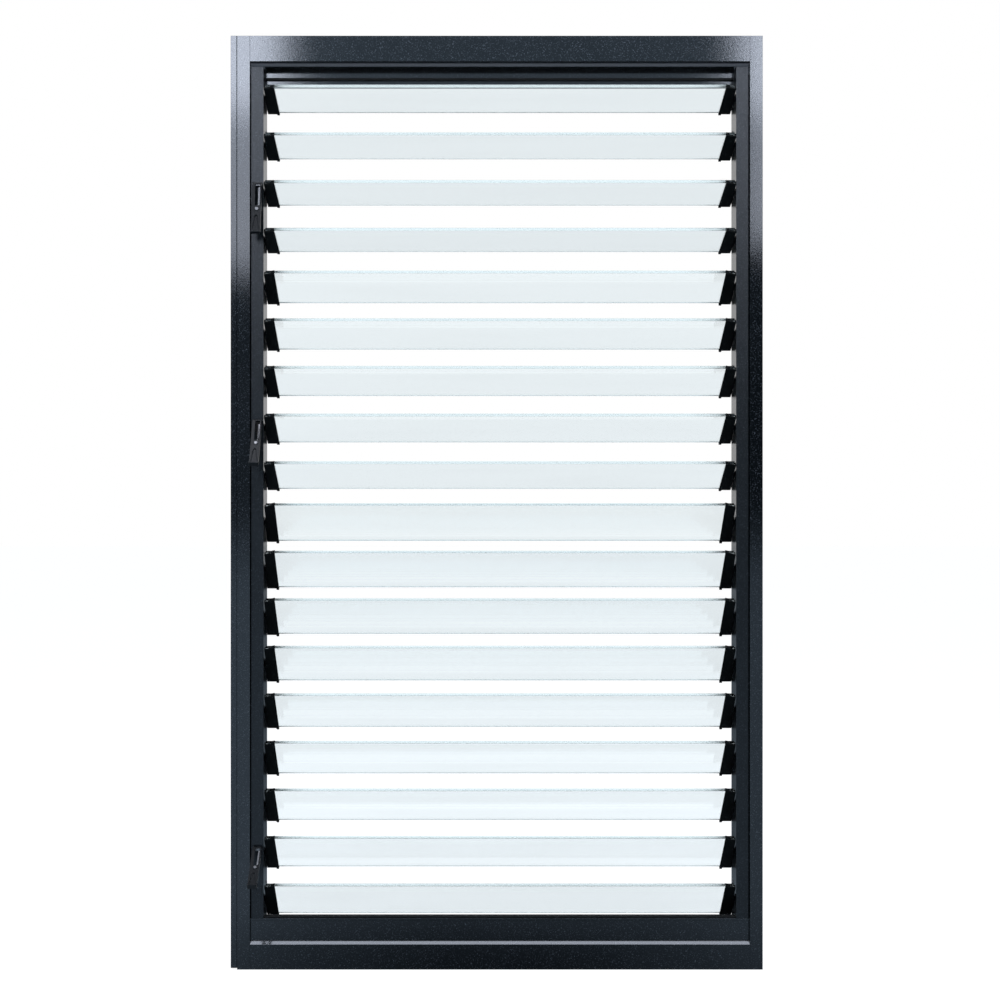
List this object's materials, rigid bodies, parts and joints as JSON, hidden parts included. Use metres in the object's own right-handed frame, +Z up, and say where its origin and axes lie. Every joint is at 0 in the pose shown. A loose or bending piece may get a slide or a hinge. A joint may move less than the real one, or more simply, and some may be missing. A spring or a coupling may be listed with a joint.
{
  "type": "jalousie window",
  "caption": "Tall louvre window: a dark hollow frame holding stacked glass blades in pivoting end clips, tilted in separate banks by lever handles on one side.",
  "frame": {"origin": "centre of the sill's flat underside", "axes": "+X to the right seen from the room, +Y from the room to the outside, +Z up"},
  "size_m": [0.997, 0.1884, 1.75],
  "materials": {
    "frame_coat": "dark powder coat, satin, fine grain",
    "gallery_coat": "dark powder coat, satin",
    "glass": "clear float glass with green edges",
    "clip": "moulded, matte",
    "handle": "moulded, satin",
    "insert": "bright stainless",
    "bracket": "stainless",
    "keeper": "moulded, matte"
  },
  "bodies": {
    "frame": {"left_jamb": "frame_coat", "right_jamb": "frame_coat", "left_edge_strip": "frame_coat", "head": "frame_coat", "head_stop": "gallery_coat", "sill": "frame_coat", "left_gallery": "gallery_coat", "right_gallery": "gallery_coat", "handle_brackets": "bracket", "handle_keepers": "keeper"},
    "blade_03": {"blade_03_glass": "glass", "blade_03_clips": "clip"},
    "blade_01": {"blade_01_glass": "glass", "blade_01_clips": "clip"},
    "blade_02": {"blade_02_glass": "glass", "blade_02_clips": "clip"},
    "blade_04": {"blade_04_glass": "glass", "blade_04_clips": "clip"},
    "upper_handle": {"upper_handle": "handle", "upper_handle_insert": "insert"},
    "blade_08": {"blade_08_glass": "glass", "blade_08_clips": "clip"},
    "blade_05": {"blade_05_glass": "glass", "blade_05_clips": "clip"},
    "blade_06": {"blade_06_glass": "glass", "blade_06_clips": "clip"},
    "blade_07": {"blade_07_glass": "glass", "blade_07_clips": "clip"},
    "blade_09": {"blade_09_glass": "glass", "blade_09_clips": "clip"},
    "middle_handle": {"middle_handle": "handle", "middle_handle_insert": "insert"},
    "blade_17": {"blade_17_glass": "glass", "blade_17_clips": "clip"},
    "blade_10": {"blade_10_glass": "glass", "blade_10_clips": "clip"},
    "blade_11": {"blade_11_glass": "glass", "blade_11_clips": "clip"},
    "blade_12": {"blade_12_glass": "glass", "blade_12_clips": "clip"},
    "blade_13": {"blade_13_glass": "glass", "blade_13_clips": "clip"},
    "blade_14": {"blade_14_glass": "glass", "blade_14_clips": "clip"},
    "blade_15": {"blade_15_glass": "glass", "blade_15_clips": "clip"},
    "blade_16": {"blade_16_glass": "glass", "blade_16_clips": "clip"},
    "blade_18": {"blade_18_glass": "glass", "blade_18_clips": "clip"},
    "lower_handle": {"lower_handle": "handle", "lower_handle_insert": "insert"}
  },
  "joints": [
    {"name": "upper_bank_tilt", "type": "hinge", "parent": "frame", "child": "blade_03", "pos_m": [0, -0.0165, 1.461], "axis": [-1, 0, 0], "range_deg": [-10, 65]},
    {"name": "blade_01_tilt", "type": "hinge", "parent": "frame", "child": "blade_01", "pos_m": [0, -0.0165, 1.639], "axis": [-1, 0, 0], "range_deg": [-10, 65]},
    {"name": "blade_02_tilt", "type": "hinge", "parent": "frame", "child": "blade_02", "pos_m": [0, -0.0165, 1.55], "axis": [-1, 0, 0], "range_deg": [-10, 65]},
    {"name": "blade_04_tilt", "type": "hinge", "parent": "frame", "child": "blade_04", "pos_m": [0, -0.0165, 1.372], "axis": [-1, 0, 0], "range_deg": [-10, 65]},
    {"name": "upper_handle_swing", "type": "hinge", "parent": "frame", "child": "upper_handle", "pos_m": [-0.45475, -0.0495, 1.471], "axis": [-1, 0, 0], "range_deg": [-15, 97.5]},
    {"name": "middle_bank_tilt", "type": "hinge", "parent": "frame", "child": "blade_08", "pos_m": [0, -0.0165, 1.016], "axis": [-1, 0, 0], "range_deg": [-22, 53]},
    {"name": "blade_05_tilt", "type": "hinge", "parent": "frame", "child": "blade_05", "pos_m": [0, -0.0165, 1.283], "axis": [-1, 0, 0], "range_deg": [-22, 53]},
    {"name": "blade_06_tilt", "type": "hinge", "parent": "frame", "child": "blade_06", "pos_m": [0, -0.0165, 1.194], "axis": [-1, 0, 0], "range_deg": [-22, 53]},
    {"name": "blade_07_tilt", "type": "hinge", "parent": "frame", "child": "blade_07", "pos_m": [0, -0.0165, 1.105], "axis": [-1, 0, 0], "range_deg": [-22, 53]},
    {"name": "blade_09_tilt", "type": "hinge", "parent": "frame", "child": "blade_09", "pos_m": [0, -0.0165, 0.927], "axis": [-1, 0, 0], "range_deg": [-22, 53]},
    {"name": "middle_handle_swing", "type": "hinge", "parent": "frame", "child": "middle_handle", "pos_m": [-0.45475, -0.0495, 1.026], "axis": [-1, 0, 0], "range_deg": [-33, 79.5]},
    {"name": "lower_bank_tilt", "type": "hinge", "parent": "frame", "child": "blade_17", "pos_m": [0, -0.0165, 0.215], "axis": [-1, 0, 0], "range_deg": [-37, 38]},
    {"name": "blade_10_tilt", "type": "hinge", "parent": "frame", "child": "blade_10", "pos_m": [0, -0.0165, 0.838], "axis": [-1, 0, 0], "range_deg": [-37, 38]},
    {"name": "blade_11_tilt", "type": "hinge", "parent": "frame", "child": "blade_11", "pos_m": [0, -0.0165, 0.749], "axis": [-1, 0, 0], "range_deg": [-37, 38]},
    {"name": "blade_12_tilt", "type": "hinge", "parent": "frame", "child": "blade_12", "pos_m": [0, -0.0165, 0.66], "axis": [-1, 0, 0], "range_deg": [-37, 38]},
    {"name": "blade_13_tilt", "type": "hinge", "parent": "frame", "child": "blade_13", "pos_m": [0, -0.0165, 0.571], "axis": [-1, 0, 0], "range_deg": [-37, 38]},
    {"name": "blade_14_tilt", "type": "hinge", "parent": "frame", "child": "blade_14", "pos_m": [0, -0.0165, 0.482], "axis": [-1, 0, 0], "range_deg": [-37, 38]},
    {"name": "blade_15_tilt", "type": "hinge", "parent": "frame", "child": "blade_15", "pos_m": [0, -0.0165, 0.393], "axis": [-1, 0, 0], "range_deg": [-37, 38]},
    {"name": "blade_16_tilt", "type": "hinge", "parent": "frame", "child": "blade_16", "pos_m": [0, -0.0165, 0.304], "axis": [-1, 0, 0], "range_deg": [-37, 38]},
    {"name": "blade_18_tilt", "type": "hinge", "parent": "frame", "child": "blade_18", "pos_m": [0, -0.0165, 0.126], "axis": [-1, 0, 0], "range_deg": [-37, 38]},
    {"name": "lower_handle_swing", "type": "hinge", "parent": "frame", "child": "lower_handle", "pos_m": [-0.45475, -0.0495, 0.225], "axis": [-1, 0, 0], "range_deg": [-55.5, 57]}
  ],
  "couplings": [
    {"joint": "blade_01_tilt", "follows": "upper_bank_tilt", "ratio": 1},
    {"joint": "blade_02_tilt", "follows": "upper_bank_tilt", "ratio": 1},
    {"joint": "blade_04_tilt", "follows": "upper_bank_tilt", "ratio": 1},
    {"joint": "upper_handle_swing", "follows": "upper_bank_tilt", "ratio": 1.5},
    {"joint": "blade_05_tilt", "follows": "middle_bank_tilt", "ratio": 1},
    {"joint": "blade_06_tilt", "follows": "middle_bank_tilt", "ratio": 1},
    {"joint": "blade_07_tilt", "follows": "middle_bank_tilt", "ratio": 1},
    {"joint": "blade_09_tilt", "follows": "middle_bank_tilt", "ratio": 1},
    {"joint": "middle_handle_swing", "follows": "middle_bank_tilt", "ratio": 1.5},
    {"joint": "blade_10_tilt", "follows": "lower_bank_tilt", "ratio": 1},
    {"joint": "blade_11_tilt", "follows": "lower_bank_tilt", "ratio": 1},
    {"joint": "blade_12_tilt", "follows": "lower_bank_tilt", "ratio": 1},
    {"joint": "blade_13_tilt", "follows": "lower_bank_tilt", "ratio": 1},
    {"joint": "blade_14_tilt", "follows": "lower_bank_tilt", "ratio": 1},
    {"joint": "blade_15_tilt", "follows": "lower_bank_tilt", "ratio": 1},
    {"joint": "blade_16_tilt", "follows": "lower_bank_tilt", "ratio": 1},
    {"joint": "blade_18_tilt", "follows": "lower_bank_tilt", "ratio": 1},
    {"joint": "lower_handle_swing", "follows": "lower_bank_tilt", "ratio": 1.5}
  ]
}
